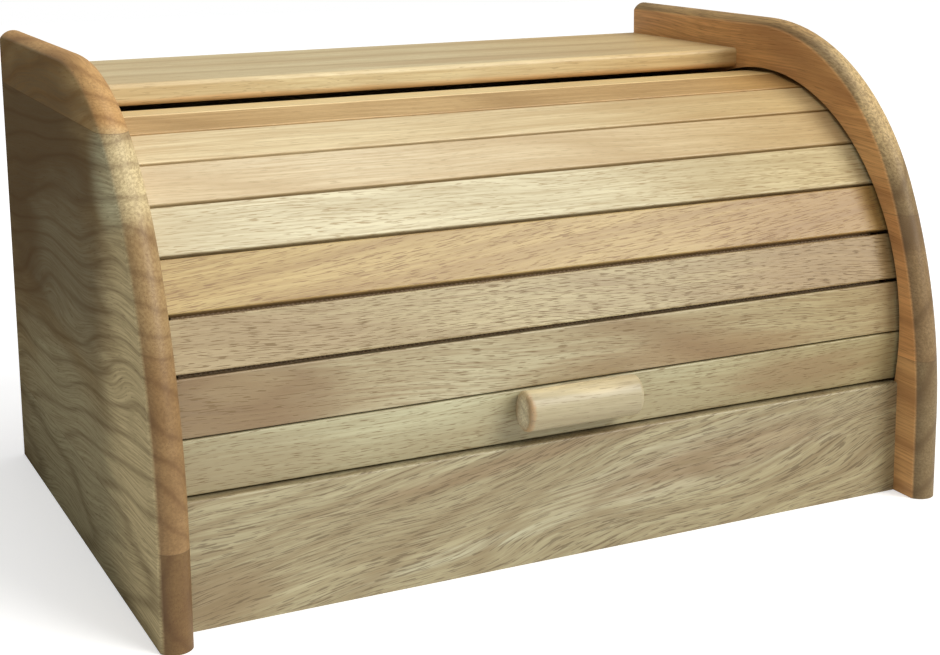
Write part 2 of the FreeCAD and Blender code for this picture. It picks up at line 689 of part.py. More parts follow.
def make_screws():
    """The two round-head screws that hold the handle, driven through canvas and slat."""
    parts = []
    for number, (across, up) in enumerate(SCREW_PLACES, start=1):
        shank = doc.addObject("Part::Cylinder", f"handle_screw_shank_{number}")
        shank.setExpression("Radius", "Sizes.screw_diameter / 2")
        shank.setExpression("Height", "Sizes.screw_length")
        head = doc.addObject("Part::Cone", f"handle_screw_head_{number}")
        head.setExpression("Radius1", "Sizes.screw_head_top / 2")
        head.setExpression("Radius2", "Sizes.screw_head / 2")
        head.setExpression("Height", "Sizes.screw_head_rise")
        under_head = "-Layout.inner_radius + Sizes.canvas_thickness"
        for solid, place in ((shank, under_head), (head, f"{under_head} + Sizes.screw_head_rise")):
            solid.Placement = FreeCAD.Placement(Vector(), Rotation(Vector(1, 0, 0), 90))
            solid.setExpression("Placement.Base.x", across)
            solid.setExpression("Placement.Base.y", place)
            solid.setExpression("Placement.Base.z", up)
        screw = doc.addObject("Part::MultiFuse", f"handle_screw_{number}")
        screw.Shapes = [shank, head]
        parts.append(screw)
    group = doc.addObject("Part::Compound", "handle_screws")
    group.Label = "handle_screws"
    group.Links = parts
    place_on_track(group, slat_angle(HANDLE_SLAT))
    return group


# ---- assembly ---------------------------------------------------------------------------

sub_parts = [
    make_end_panel("left_end_panel", "0", "Sizes.panel_thickness", False),
    make_end_panel(
        "right_end_panel", "Sizes.overall_width - Sizes.panel_thickness", "0", True),
    make_front_board(),
    make_shelf(),
    *make_base_and_back(),
    make_dowels("shelf_dowels", SHELF_DOWELS),
    make_dowels("front_board_dowels", BOARD_DOWELS),
    *[make_slat(number) for number in range(1, round(sizes.slat_count) + 1)],
    make_canvas(),
    make_handle(),
    make_screws(),
]
doc.recompute()

for item in doc.Objects:
    if "Invalid" in item.State or "Error" in item.State:
        raise ValueError(f"{item.Name} failed: {item.State}")
for piece in sub_parts:
    if piece.Shape.isNull() or not piece.Shape.isValid() or not piece.Shape.Solids:
        raise ValueError(f"{piece.Label} has no valid solid")

os.makedirs("parts", exist_ok=True)
for piece in sub_parts:
    piece.Shape.exportStep(f"parts/{piece.Label}.step")
    box = piece.Shape.BoundBox
    print(f"{piece.Label:20s} {len(piece.Shape.Solids):2d} solids {piece.Shape.Volume:10.0f} mm3",
          f"x {box.XMin:.1f}..{box.XMax:.1f} y {box.YMin:.1f}..{box.YMax:.1f}",
          f"z {box.ZMin:.1f}..{box.ZMax:.1f}")
print("opening travel", round(layout.track_end - layout.rear_angle - sizes.track_end_play, 2))
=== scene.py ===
"""Roll-top bread box in rubberwood: its finish, the shutter's canvas, and the studio."""
import bpy
import json
import math
from mathutils import Matrix, Vector


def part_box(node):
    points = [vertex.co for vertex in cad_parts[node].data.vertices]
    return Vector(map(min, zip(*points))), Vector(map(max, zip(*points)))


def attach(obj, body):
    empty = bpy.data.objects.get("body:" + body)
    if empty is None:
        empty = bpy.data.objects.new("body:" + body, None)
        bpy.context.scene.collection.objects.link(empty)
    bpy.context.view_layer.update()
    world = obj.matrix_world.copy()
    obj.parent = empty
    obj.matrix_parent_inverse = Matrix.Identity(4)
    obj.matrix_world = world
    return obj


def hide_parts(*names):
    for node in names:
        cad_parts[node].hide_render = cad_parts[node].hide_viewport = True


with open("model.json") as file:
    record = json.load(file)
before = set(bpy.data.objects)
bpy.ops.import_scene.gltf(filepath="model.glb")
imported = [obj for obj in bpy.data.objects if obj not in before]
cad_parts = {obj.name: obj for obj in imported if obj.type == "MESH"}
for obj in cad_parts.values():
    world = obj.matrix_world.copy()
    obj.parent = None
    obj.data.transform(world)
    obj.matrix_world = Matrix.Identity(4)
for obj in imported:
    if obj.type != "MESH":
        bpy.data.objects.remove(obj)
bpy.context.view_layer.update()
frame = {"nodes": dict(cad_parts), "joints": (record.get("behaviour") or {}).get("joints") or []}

nodes = frame["nodes"]
bpy.ops.object.select_all(action="DESELECT")

# ---------------------------------------------------------------------------------------------
# End panels. Each is a board glued up from three rubberwood staves with the grain running from
# front to back, so its rounded front edge shows end grain. The edge is run round with a cutter,
# the shutter's track is milled in the inner face, and all of it has two coats of satin lacquer.


def lay(tree, kind, feeds=None, **settings):
    """A shader node with its settings; feeds gives its inputs, by value or from another node."""
    made = tree.nodes.new("ShaderNode" + kind)
    for name, value in settings.items():
        setattr(made, name, value)
    for name, value in (feeds or {}).items():
        if isinstance(value, bpy.types.NodeSocket):
            tree.links.new(value, made.inputs[name])
        else:
            made.inputs[name].default_value = value
    return made


def reckon(tree, operation, *values):
    """The result of one Math node."""
    return lay(tree, "Math", dict(enumerate(values)), operation=operation).outputs[0]


def stain(tree, amount, ground, over, blend_type="MIX"):
    """The colour of the ground with another laid over it."""
    return lay(tree, "Mix", {0: amount, 6: ground, 7: over}, data_type="RGBA",
               blend_type=blend_type).outputs[2]


def between(tree, value, low, high, to_low=0.0, to_high=1.0):
    """The value brought from one range into another, softly at both ends."""
    return lay(tree, "MapRange", {"Value": value, "From Min": low, "From Max": high,
                                  "To Min": to_low, "To Max": to_high},
               interpolation_type="SMOOTHSTEP").outputs[0]


def stretched_noise(tree, place, stretch, detail=0.0, roughness=0.5):
    """Noise drawn out along the grain; stretch is its repeats to the metre along X, Y and Z."""
    at = lay(tree, "VectorMath", {0: place, 1: stretch}, operation="MULTIPLY").outputs[0]
    return lay(tree, "TexNoise", {"Vector": at, "Scale": 1.0, "Detail": detail,
                                  "Roughness": roughness}).outputs["Fac"]


def new_group(name, inputs, outputs):
    """A shader node group with its sockets; gives the tree and its inner ends."""
    tree = bpy.data.node_groups.new(name, "ShaderNodeTree")
    for label, kind, value in inputs:
        socket = tree.interface.new_socket(label, in_out="INPUT", socket_type="NodeSocket" + kind)
        if value is not None:
            socket.default_value = value
    for label, kind in outputs:
        tree.interface.new_socket(label, in_out="OUTPUT", socket_type="NodeSocket" + kind)
    return tree, tree.nodes.new("NodeGroupInput"), tree.nodes.new("NodeGroupOutput")


def draw_rubberwood_figure():
    """Rubberwood's figure in three dimensions, its grain along X: growth rings about a heart,
    fibres, and the short dark pores that are its mark."""
    tree, into, out = new_group(
        "rubberwood_figure",
        [("Place", "Vector", None), ("Slant", "Float", 0.0), ("Dive", "Float", 0.0),
         ("Wander", "Float", 0.004), ("Heart", "Vector", None), ("Ring Scale", "Float", 20.0),
         ("Ring Bend", "Float", 3.0), ("Pore Level", "Float", 0.60), ("Pore Run", "Float", 140.0)],
        [("Rings", "Float"), ("Bands", "Float"), ("Pores", "Float"), ("Fibres", "Float"),
         ("Streaks", "Float"), ("Clouds", "Float")])
    parts = lay(tree, "SeparateXYZ", {0: into.outputs["Place"]}).outputs
    drift = stretched_noise(tree, into.outputs["Place"], (7.0, 20.0, 20.0), 1.0)
    drift = reckon(tree, "MULTIPLY", reckon(tree, "SUBTRACT", drift, 0.5),
                   into.outputs["Wander"])
    across = reckon(tree, "ADD", drift, reckon(
        tree, "MULTIPLY_ADD", parts[0], into.outputs["Slant"], parts[1]))
    bent = lay(tree, "CombineXYZ", {0: parts[0], 1: across, 2: parts[2]}).outputs[0]
    pores_across = 2200.0
    run = lay(tree, "CombineXYZ", {0: into.outputs["Pore Run"], 1: pores_across,
                                   2: pores_across}).outputs[0]
    pores = stretched_noise(tree, bent, run, 1.0, 0.4)
    crowd = stretched_noise(tree, bent, (14.0, 70.0, 70.0), 1.0)
    # more pores show in some parts of the board and fewer in others
    crowding = 0.14
    level = reckon(tree, "MULTIPLY_ADD", crowd, -crowding,
                   reckon(tree, "ADD", into.outputs["Pore Level"], crowding / 2))
    tree.links.new(between(tree, reckon(tree, "SUBTRACT", pores, level), 0.0, 0.08),
                   out.inputs["Pores"])
    for label, stretch, detail, roughness, low, high in (
            ("Fibres", (22.0, 900.0, 900.0), 3.0, 0.65, 0.34, 0.68),
            ("Streaks", (7.0, 190.0, 190.0), 2.0, 0.60, 0.36, 0.66),
            ("Clouds", (8.0, 34.0, 34.0), 2.0, 0.55, 0.34, 0.66)):
        noise = stretched_noise(tree, bent, stretch, detail, roughness)
        tree.links.new(between(tree, noise, low, high), out.inputs[label])
    through = reckon(tree, "MULTIPLY_ADD", parts[0], into.outputs["Dive"], parts[2])
    log = lay(tree, "CombineXYZ", {0: 0.0, 1: across, 2: through}).outputs[0]
    about = lay(tree, "VectorMath", {0: log, 1: into.outputs["Heart"]},
                operation="SUBTRACT").outputs[0]
    # the bends in the rings change slowly along the board
    along = lay(tree, "CombineXYZ", {0: reckon(tree, "MULTIPLY", parts[0], 0.16)}).outputs[0]
    about = lay(tree, "VectorMath", {0: about, 1: along}, operation="ADD").outputs[0]
    rings = lay(tree, "TexWave", {"Vector": about, "Scale": into.outputs["Ring Scale"],
                                  "Distortion": into.outputs["Ring Bend"], "Detail": 2.0,
                                  "Detail Scale": 0.9, "Detail Roughness": 0.5},
                wave_type="RINGS", rings_direction="X").outputs["Fac"]
    tree.links.new(rings, out.inputs["Bands"])
    late_wood = 9.0  # how narrow the dark line is in each ring
    tree.links.new(reckon(tree, "POWER", rings, late_wood), out.inputs["Rings"])
    return tree


rubberwood_figure = draw_rubberwood_figure()


def draw_staves():
    """The glue joints of a board made up of three staves: which stave a height is in, as 0, 0.5
    or 1, and whether it is in a joint."""
    tree, into, out = new_group(
        "glued_staves",
        [("Height", "Float", 0.0), ("Low Joint", "Float", 0.07), ("High Joint", "Float", 0.15)],
        [("Stave", "Float"), ("Joint", "Float")])
    height = into.outputs["Height"]
    above = [reckon(tree, "GREATER_THAN", height, into.outputs[label])
             for label in ("Low Joint", "High Joint")]
    tree.links.new(reckon(tree, "MULTIPLY", reckon(tree, "ADD", *above), 0.5),
                   out.inputs["Stave"])
    glue_line = 0.00022
    near = [reckon(tree, "COMPARE", height, into.outputs[label], glue_line)
            for label in ("Low Joint", "High Joint")]
    tree.links.new(reckon(tree, "MAXIMUM", *near), out.inputs["Joint"])
    return tree


glued_staves = draw_staves()


def new_material(name):
    """A material with nothing laid in its node tree yet; gives both."""
    made = bpy.data.materials.new(name)
    made.use_nodes = True
    made.node_tree.nodes.clear()
    return made, made.node_tree


def lacquered(name, shade, rough=0.40, coat=0.22):
    """Wood under lacquer. The shade function gives its colour, its relief and where it is dull,
    and may give its gloss; rough is the roughness where nothing dulls it."""
    made, tree = new_material(name)
    place = lay(tree, "TexCoord").outputs["Object"]
    colour, relief, dull, *shine = shade(tree, place)
    satin = 0.35
    rise = lay(tree, "Bump", {"Strength": 0.25, "Distance": 0.0004, "Height": relief})
    shader = lay(tree, "BsdfPrincipled", {
        "Base Color": colour, "Roughness": between(tree, dull, 0.0, 1.0, rough, rough + 0.16),
        "Normal": rise.outputs[0], "Coat Weight": coat, "Coat Roughness": 0.25,
        "Coat IOR": 1.45, "Specular IOR Level": shine[0] if shine else satin})
    lay(tree, "OutputMaterial", {0: shader.outputs[0]})
    return made


def figured(tree, place, tones, figure, amounts, patches=()):
    """Rubberwood's colour, relief and dull places from its figure. tones are pale, deep, ring and
    pore; amounts say how strongly the rings, fibres and pores show; patches are masks with the
    colours they bring."""
    wood = lay(tree, "Group", {"Place": place, **figure}, node_tree=rubberwood_figure)
    colour = toned(tree, wood, tones, amounts, patches)
    return colour, relief_of(tree, wood), wood.outputs["Pores"]


def toned(tree, wood, tones, amounts, patches=()):
    """The colour that one piece of the wood gives its figure: pale and deep wood in clouds, bands
    and streaks, its patches, then the dark ring lines, the fibres and the pores."""
    pale, deep, ring, pore = tones
    rings, fibres, pores = amounts
    spread = reckon(tree, "MULTIPLY_ADD", wood.outputs["Bands"], 0.45 * rings + 0.15,
                    reckon(tree, "MULTIPLY", wood.outputs["Clouds"], 0.5))
    colour = stain(tree, spread, (*pale, 1), (*deep, 1))
    light = tuple(min(1.0, c * 1.16) for c in pale)
    colour = stain(tree, reckon(tree, "MULTIPLY", wood.outputs["Streaks"], fibres),
                   colour, (*light, 1))
    for mask, hue in patches:
        colour = stain(tree, mask, colour, (*hue, 1))
    colour = stain(tree, reckon(tree, "MULTIPLY", wood.outputs["Rings"], rings),
                   colour, (*ring, 1))
    dark = tuple(0.5 * (d + r) for d, r in zip(deep, ring))
    colour = stain(tree, reckon(tree, "MULTIPLY", wood.outputs["Fibres"], 1.5 * fibres),
                   colour, (*dark, 1))
    colour = stain(tree, reckon(tree, "MULTIPLY", wood.outputs["Pores"], pores),
                   colour, (*pore, 1))
    return colour


def relief_of(tree, wood):
    """The height of the raised fibres, and of the open pores that the lacquer doesn't fill."""
    return reckon(tree, "SUBTRACT", reckon(tree, "MULTIPLY", wood.outputs["Fibres"], 0.25),
                  wood.outputs["Pores"])


def patch_masks(tree, place, moved, patches, rag=(26.0, 240.0, 240.0)):
    """Soft ragged patches that are darker, paler or warmer, as masks and colours; some are the
    wood's own figure and some are painted light and shade.
    Each patch is its centre, half size, colour and strength; rag is the repeats to the metre of
    the fray in its border."""
    masks = []
    for centre, half, hue, strength in patches:
        away = lay(tree, "VectorMath", {0: place, 1: centre}, operation="SUBTRACT").outputs[0]
        away = lay(tree, "VectorMath", {0: away, 1: half}, operation="DIVIDE").outputs[0]
        far = lay(tree, "VectorMath", {0: away}, operation="LENGTH").outputs["Value"]
        frayed = stretched_noise(tree, moved, rag, 2.0, 0.6)
        far = reckon(tree, "ADD", frayed, reckon(tree, "SUBTRACT", far, 0.5))
        masks.append((between(tree, far, 1.15, 0.4, 0.0, strength), hue))
    return masks


def panel_lacquer(name, staves, joints, figure, amounts, tinted, tint, face_gloss,
                  patches=(), face_light_and_shade=()):
    """The finish of an end panel. staves gives the tones of the low, middle and high stave, joints
    the heights of the glue lines, and tinted the two values of X between which the face's tint,
    gloss and own patches come in; the face's own patches are painted light and shade."""
    def shade(tree, place):
        axes = lay(tree, "SeparateXYZ", {0: place}).outputs
        glue = lay(tree, "Group", {"Height": axes[2], "Low Joint": joints[0],
                                   "High Joint": joints[1]}, node_tree=glued_staves)
        # each stave comes from another place in the log, and its grain runs from front to back
        log = reckon(tree, "MULTIPLY_ADD", glue.outputs["Stave"], 1.7, axes[1])
        heart = reckon(tree, "MULTIPLY_ADD", glue.outputs["Stave"], -0.13, axes[2])
        turned = lay(tree, "CombineXYZ", {0: log, 1: heart, 2: axes[0]}).outputs[0]
        wood = lay(tree, "Group", {"Place": turned, **figure}, node_tree=rubberwood_figure)
        outer = between(tree, axes[0], *tinted)
        masks = patch_masks(tree, place, turned, patches, rag=(8.0, 40.0, 40.0))
        # the face's own patches paint light and shade on the outer side of the panel
        masks += [(reckon(tree, "MULTIPLY", outer, mask), hue) for mask, hue in
                  patch_masks(tree, place, turned, face_light_and_shade, rag=(9.0, 45.0, 45.0))]
        low, middle, high = [toned(tree, wood, tones, amounts, masks) for tones in staves]
        upper = reckon(tree, "GREATER_THAN", glue.outputs["Stave"], 0.75)
        lower = reckon(tree, "GREATER_THAN", glue.outputs["Stave"], 0.25)
        colour = stain(tree, upper, stain(tree, lower, low, middle), high)
        colour = stain(tree, outer, colour, (*tint, 1), "MULTIPLY")
        glue_brown = (0.11, 0.06, 0.03, 1)
        colour = stain(tree, reckon(tree, "MULTIPLY", glue.outputs["Joint"], 0.35),
                       colour, glue_brown)
        edge_gloss = 0.25
        shine = between(tree, outer, 0.0, 1.0, edge_gloss, face_gloss)
        return colour, relief_of(tree, wood), wood.outputs["Pores"], shine
    return lacquered(name, shade, rough=0.45, coat=0.0)


def dress(node, material):
    """The material becomes the node's only one."""
    slots = nodes[node].data.materials
    slots.clear()
    slots.append(material)


dress("left_end_panel", panel_lacquer(
    "left_panel_lacquer",
    # the left panel's staves are darker than the right's: painted shade on the side turned away
    # from the key light
    staves=[((0.23, 0.14, 0.055), (0.16, 0.085, 0.034), (0.11, 0.055, 0.022), (0.11, 0.06, 0.03)),
            ((0.34, 0.21, 0.09), (0.23, 0.13, 0.052), (0.12, 0.055, 0.022), (0.15, 0.08, 0.035)),
            ((0.66, 0.40, 0.16), (0.42, 0.21, 0.07), (0.20, 0.09, 0.03), (0.20, 0.10, 0.045))],
    joints=(0.043, 0.205),
    figure={"Slant": 0.10, "Dive": 0.10, "Wander": 0.040, "Heart": (0.0, 0.02, -0.16),
            "Ring Scale": 26.0, "Ring Bend": 4.2, "Pore Level": 0.64, "Pore Run": 110.0},
    amounts=(0.36, 0.30, 0.42),
    tinted=(-0.1983, -0.1997), tint=(0.85, 1.0, 1.15), face_gloss=0.0,
    # the first patch is a painted highlight high on the rounded front edge
    patches=[((-0.190, -0.088, 0.188), (0.03, 0.036, 0.028), (0.76, 0.62, 0.34), 0.97),
             ((-0.191, -0.118, 0.150), (0.03, 0.03, 0.035), (0.46, 0.32, 0.15), 0.6)],
    # painted shade and light on the outer face: darkest high at the back, lighter low down and
    # near the front as if lit from the floor
    face_light_and_shade=[((-0.2, 0.07, 0.17), (0.05, 0.17, 0.11), (0.155, 0.092, 0.045), 0.85),
                  ((-0.2, 0.0, 0.13), (0.05, 0.09, 0.05), (0.32, 0.235, 0.125), 0.7),
                  ((-0.2, 0.0, 0.04), (0.05, 0.19, 0.07), (0.52, 0.39, 0.20), 0.85),
                  ((-0.2, -0.12, 0.09), (0.05, 0.07, 0.13), (0.86, 0.60, 0.29), 0.85)]))
dress("right_end_panel", panel_lacquer(
    "right_panel_lacquer",
    # the right panel's staves are brightened for its inner face, which the key light doesn't
    # reach: painted light; the tint darkens the outer face and edge
    staves=[((0.74, 0.43, 0.175), (0.58, 0.30, 0.11), (0.32, 0.15, 0.055), (0.27, 0.13, 0.05)),
            ((0.84, 0.45, 0.175), (0.64, 0.31, 0.11), (0.32, 0.15, 0.055), (0.27, 0.13, 0.05)),
            ((0.84, 0.48, 0.19), (0.66, 0.33, 0.12), (0.32, 0.15, 0.055), (0.27, 0.13, 0.05))],
    joints=(0.071, 0.142),
    figure={"Slant": -0.03, "Dive": 0.08, "Wander": 0.016, "Heart": (0.0, 0.10, 0.10),
            "Ring Scale": 17.0, "Ring Bend": 3.6, "Pore Level": 0.61, "Pore Run": 70.0},
    amounts=(0.50, 0.42, 0.38),
    tinted=(0.1860, 0.1868), tint=(0.38, 0.48, 0.60), face_gloss=0.2,
    patches=[((0.186, 0.0, 0.215), (0.002, 0.20, 0.020), (0.95, 0.56, 0.23), 0.7)],
    # painted light on the upper front and top of the edge and outer face, and painted shade lower
    # down on the edge
    face_light_and_shade=[((0.194, -0.080, 0.205), (0.05, 0.070, 0.050), (2.00, 1.14, 0.44), 0.95),
                  ((0.194, 0.03, 0.232), (0.05, 0.13, 0.020), (1.55, 0.78, 0.26), 0.95),
                  ((0.194, -0.125, 0.135), (0.05, 0.03, 0.012), (0.50, 0.26, 0.11), 0.6)]))

# ---------------------------------------------------------------------------------------------
# Front board. One wide flat-sawn rubberwood board, dowelled between the end panels. Its figure
# climbs to the right and closes in a long oval where the saw ran near the heart.


def board_lacquer(name, tones, figure, amounts, facing=0.0, patches=(),
                  shift=(0.0, 0.0, 0.0), right_end_shade=(1.0, 1.0, 1.0), climb=0.0, **finish):
    """The finish of a board or slat with its grain along X. facing is how far its face is turned
    up from upright and shift is where in the log it comes from. The tint of its right end is a
    painted shade that darkens and browns it towards the right end panel, and climb turns its
    patches up to the right; both angles are in radians."""
    def shade(tree, place):
        moved = lay(tree, "Mapping", {"Vector": place, "Location": shift,
                                      "Rotation": (facing - math.pi / 2, 0.0, 0.0)}).outputs[0]
        level = lay(tree, "Mapping", {"Vector": place, "Rotation": (0.0, climb, 0.0)}).outputs[0]
        masks = patch_masks(tree, level, moved, patches)
        colour, relief, dull = figured(tree, moved, tones, figure, amounts, masks)
        # painted shade: the colour darkens and browns towards the right end
        right_shade_from, right_shade_to = 0.0, 0.16
        along = lay(tree, "SeparateXYZ", {0: place}).outputs[0]
        colour = stain(tree, between(tree, along, right_shade_from, right_shade_to), colour, (*right_end_shade, 1),
                       "MULTIPLY")
        return colour, relief, dull
    return lacquered(name, shade, **finish)


dress("front_board", board_lacquer(
    "front_board_lacquer",
    tones=((0.47, 0.42, 0.255), (0.33, 0.265, 0.145), (0.24, 0.165, 0.08), (0.12, 0.08, 0.04)),
    figure={"Slant": -0.17, "Dive": 0.16, "Wander": 0.034, "Heart": (0.0, 0.017, 0.1376),
            "Ring Scale": 30.0, "Ring Bend": 4.6, "Pore Level": 0.565, "Pore Run": 120.0},
    amounts=(0.34, 0.48, 0.56), right_end_shade=(0.92, 0.88, 0.82), climb=0.12,
    patches=[((-0.165, -0.13, 0.032), (0.035, 0.03, 0.016), (0.27, 0.18, 0.09), 0.6),
             ((-0.05, -0.13, 0.019), (0.09, 0.03, 0.004), (0.58, 0.55, 0.37), 0.8),
             ((0.080, -0.13, 0.026), (0.096, 0.03, 0.0175), (0.60, 0.56, 0.38), 0.9),
             ((0.082, -0.13, 0.026), (0.082, 0.03, 0.0110), (0.30, 0.20, 0.105), 0.8),
             ((0.105, -0.13, 0.026), (0.050, 0.03, 0.0035), (0.50, 0.42, 0.26), 0.7),
             # painted shadow: a dark band along the board's top edge under the lowest slat
             ((-0.02, -0.13, 0.054), (0.10, 0.03, 0.005), (0.30, 0.19, 0.10), 0.6)]))

# ---------------------------------------------------------------------------------------------
# Top shelf. A straight-grained rubberwood board dowelled between the panels behind the crest of
# the shutter. Its front edge is run round above and rounder below.

shelf_low, shelf_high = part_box("shelf_board")
dress("shelf_board", board_lacquer(
    "shelf_lacquer",
    tones=((0.80, 0.68, 0.40), (0.66, 0.50, 0.26), (0.44, 0.30, 0.14), (0.34, 0.22, 0.10)),
    figure={"Slant": 0.02, "Dive": 0.02, "Wander": 0.010, "Heart": (0.0, 0.3, -0.12),
            "Ring Scale": 17.0, "Ring Bend": 2.4, "Pore Level": 0.64},
    amounts=(0.40, 0.38, 0.40), facing=math.pi / 2, shift=(0.37, 0.0, 0.0),
    right_end_shade=(0.94, 0.85, 0.72), rough=0.44, coat=0.12,
    # the first patch is painted warm bounce light along the rounding under the shelf's front edge
    patches=[((0.0, shelf_low.y, shelf_low.z), (0.5, 0.010, 0.004), (0.82, 0.52, 0.25), 0.8),
             ((0.02, 0.045, shelf_high.z), (0.10, 0.010, 0.004), (0.58, 0.40, 0.20), 0.6)]))

# ---------------------------------------------------------------------------------------------
# Base and back. Three-ply board with rotary-cut faces, slid into housings in the end panels and
# left with a single thin coat. The plies show only on the sawn edges.


def draw_plies():
    """The stripes that the plies make on a sawn edge, from the distance through the board."""
    tree, into, out = new_group(
        "sawn_plies", [("Through", "Float", 0.0), ("Ply", "Float", 0.0012)],
        [("Stripe", "Float")])
    step = reckon(tree, "DIVIDE", into.outputs["Through"], into.outputs["Ply"])
    wave = reckon(tree, "SINE", reckon(tree, "MULTIPLY", step, math.pi))
    tree.links.new(between(tree, wave, -0.2, 0.2), out.inputs["Stripe"])
    return tree


sawn_plies = draw_plies()


def ply_lacquer(name, through_axis, skin):
    """The finish of a plywood panel that lies across through_axis, one of its faces at skin."""
    def shade(tree, place):
        colour, relief, dull = figured(
            tree, place,
            tones=((0.56, 0.41, 0.22), (0.45, 0.31, 0.15), (0.34, 0.21, 0.09), (0.28, 0.17, 0.08)),
            figure={"Slant": 0.06, "Dive": 0.3, "Wander": 0.05, "Heart": (0.0, 0.1, -0.4),
                    "Ring Scale": 6.0, "Ring Bend": 6.0, "Pore Level": 0.62},
            amounts=(0.5, 0.25, 0.4))
        across = lay(tree, "SeparateXYZ", {0: place}).outputs[through_axis]
        plies = lay(tree, "Group", {"Through": reckon(tree, "SUBTRACT", across, skin)},
                    node_tree=sawn_plies)
        cross_ply = (0.24, 0.14, 0.06, 1)
        colour = stain(tree, reckon(tree, "MULTIPLY", plies.outputs["Stripe"], 0.45),
                       colour, cross_ply)
        return colour, relief, dull
    return lacquered(name, shade, rough=0.46, coat=0.12)


base_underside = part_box("base_board")[0].z
back_rear_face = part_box("back_panel")[1].y
dress("base_board", ply_lacquer("base_ply", 2, base_underside))
dress("back_panel", ply_lacquer("back_ply", 1, back_rear_face))

# ---------------------------------------------------------------------------------------------
# Dowels. Fluted beech pegs glued between the boards and the end panels, unfinished and hidden
# once the box is glued up.


def peg_shade(tree, place):
    """Plain beech, close-ringed and a little pink."""
    return figured(
        tree, place,
        tones=((0.55, 0.38, 0.22), (0.46, 0.30, 0.16), (0.36, 0.22, 0.11), (0.28, 0.16, 0.08)),
        figure={"Slant": 0.0, "Dive": 0.0, "Wander": 0.002, "Heart": (0.0, 0.02, 0.02),
                "Ring Scale": 60.0, "Ring Bend": 1.0, "Pore Level": 0.6},
        amounts=(0.3, 0.3, 0.6))


raw_beech = lacquered("raw_beech", peg_shade, rough=0.62, coat=0.0)
dress("front_board_dowels", raw_beech)
dress("shelf_dowels", raw_beech)

# ---------------------------------------------------------------------------------------------
# Shutter slats. Ten rubberwood slats ripped from different boards, so no two match: the upper
# ones are pale and plain, the lower ones greyer and full of pores. Each has its arrises eased.

PALE_PORE = (0.42, 0.31, 0.16)
BROWN_PORE = (0.19, 0.12, 0.045)
# each slat's four tones, its amounts, how its grain slants, its pore level and its patches,
# whose centres lie in the slat's middle from front to back
slat_woods = {
    "slat_01": ((0.60, 0.58, 0.37), (0.44, 0.39, 0.23), (0.30, 0.21, 0.10), BROWN_PORE,
                (0.35, 0.42, 0.66), -0.02, 0.585,
                [((0.125, 0, 0.070), (0.05, 0.05, 0.012), (0.34, 0.21, 0.11), 0.65),
                 ((-0.16, 0, 0.070), (0.06, 0.05, 0.016), (0.37, 0.30, 0.18), 0.5)]),
    "slat_02": ((0.58, 0.53, 0.34), (0.40, 0.31, 0.17), (0.26, 0.16, 0.08), BROWN_PORE,
                (0.50, 0.42, 0.66), 0.05, 0.585,
                [((-0.165, 0, 0.097), (0.06, 0.05, 0.03), (0.25, 0.16, 0.085), 0.8),
                 ((-0.155, 0, 0.102), (0.022, 0.05, 0.008), (0.44, 0.35, 0.20), 0.9),
                 ((0.06, 0, 0.087), (0.10, 0.05, 0.010), (0.36, 0.24, 0.12), 0.65)]),
    "slat_03": ((0.53, 0.45, 0.25), (0.40, 0.31, 0.16), (0.28, 0.18, 0.085), BROWN_PORE,
                (0.28, 0.46, 0.76), 0.03, 0.560,
                [((-0.150, 0, 0.118), (0.07, 0.05, 0.020), (0.37, 0.25, 0.14), 0.5),
                 ((0.150, 0, 0.120), (0.07, 0.05, 0.025), (0.40, 0.27, 0.14), 0.6)]),
    "slat_04": ((0.54, 0.40, 0.165), (0.42, 0.28, 0.10), (0.31, 0.18, 0.065), (0.26, 0.15, 0.07),
                (0.36, 0.44, 0.70), -0.10, 0.580,
                [((0.150, 0, 0.143), (0.08, 0.05, 0.020), (0.40, 0.24, 0.085), 0.5)]),
    "slat_05": ((0.74, 0.68, 0.46), (0.61, 0.52, 0.32), (0.44, 0.34, 0.18), PALE_PORE,
                (0.32, 0.52, 0.80), 0.01, 0.580, []),
    "slat_06": ((0.72, 0.60, 0.38), (0.59, 0.44, 0.235), (0.48, 0.33, 0.16), PALE_PORE,
                (0.35, 0.42, 0.55), 0.02, 0.605,
                [((0.0, 0, 0.169), (0.10, 0.05, 0.010), (0.58, 0.42, 0.22), 0.6)]),
    "slat_07": ((0.80, 0.68, 0.42), (0.65, 0.49, 0.26), (0.50, 0.34, 0.16), PALE_PORE,
                (0.40, 0.46, 0.42), -0.01, 0.620,
                [((0.13, 0, 0.182), (0.09, 0.05, 0.010), (0.56, 0.38, 0.17), 0.7)]),
    "slat_08": ((0.70, 0.48, 0.22), (0.52, 0.32, 0.12), (0.36, 0.21, 0.075), (0.3, 0.17, 0.07),
                (0.45, 0.45, 0.45), 0.01, 0.620, []),
    "slat_09": ((0.94, 0.75, 0.40), (0.80, 0.58, 0.28), (0.58, 0.39, 0.17), PALE_PORE,
                (0.30, 0.30, 0.30), 0.0, 0.640, []),
    "slat_10": ((0.62, 0.49, 0.28), (0.52, 0.38, 0.20), (0.40, 0.27, 0.13), BROWN_PORE,
                (0.30, 0.25, 0.40), 0.0, 0.620, []),
}
hinge = next(j for j in frame["joints"] if j["child"] == "shutter")
turn_y, turn_z = hinge["pos_m"][1:]
log_step = 0.53  # from one slat's place in the log to the next one's
